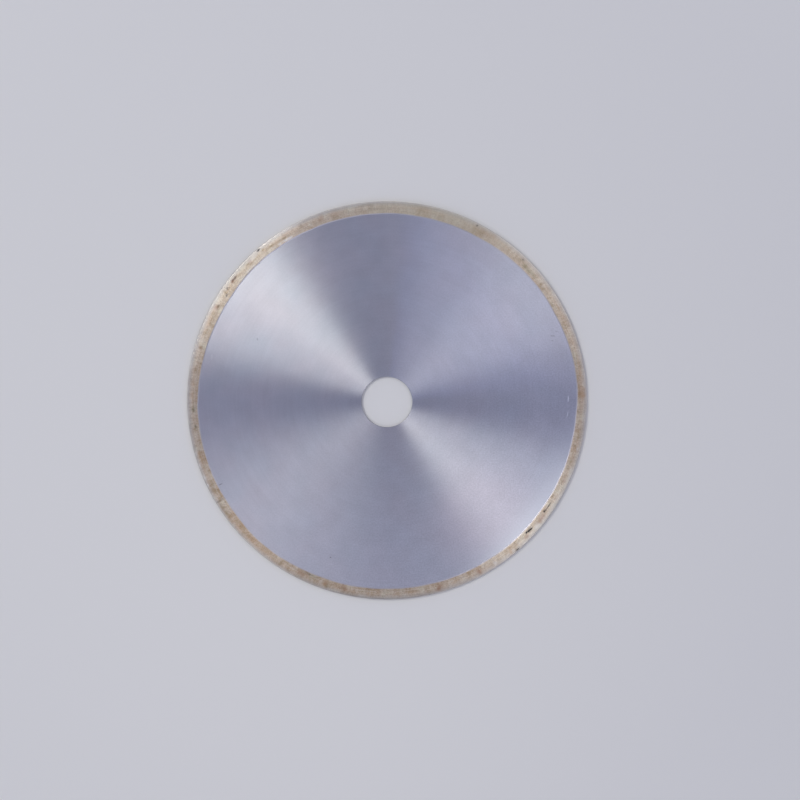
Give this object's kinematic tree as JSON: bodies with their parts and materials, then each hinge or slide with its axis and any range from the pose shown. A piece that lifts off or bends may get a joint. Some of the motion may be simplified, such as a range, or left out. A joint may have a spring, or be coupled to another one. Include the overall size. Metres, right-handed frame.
{
  "type": "diamond tile blade",
  "caption": "Flat steel disc with a round arbor bore and an unbroken diamond-bearing rim sintered onto its edge, for wet cutting of ceramic tile.",
  "frame": {"origin": "centre of the arbor bore, at mid thickness of the core", "axes": "+Z along the bore, the blade's axis of rotation; the blade lies flat, as it rests"},
  "size_m": [0.2, 0.2, 0.0022],
  "materials": {
    "ground_steel": "ground in circles round the bore, satin",
    "sintered_bronze": "sintered and ground, matt, with stains and small pores"
  },
  "bodies": {
    "root": {"steel_core": "ground_steel", "diamond_rim": "sintered_bronze"}
  },
  "joints": []
}
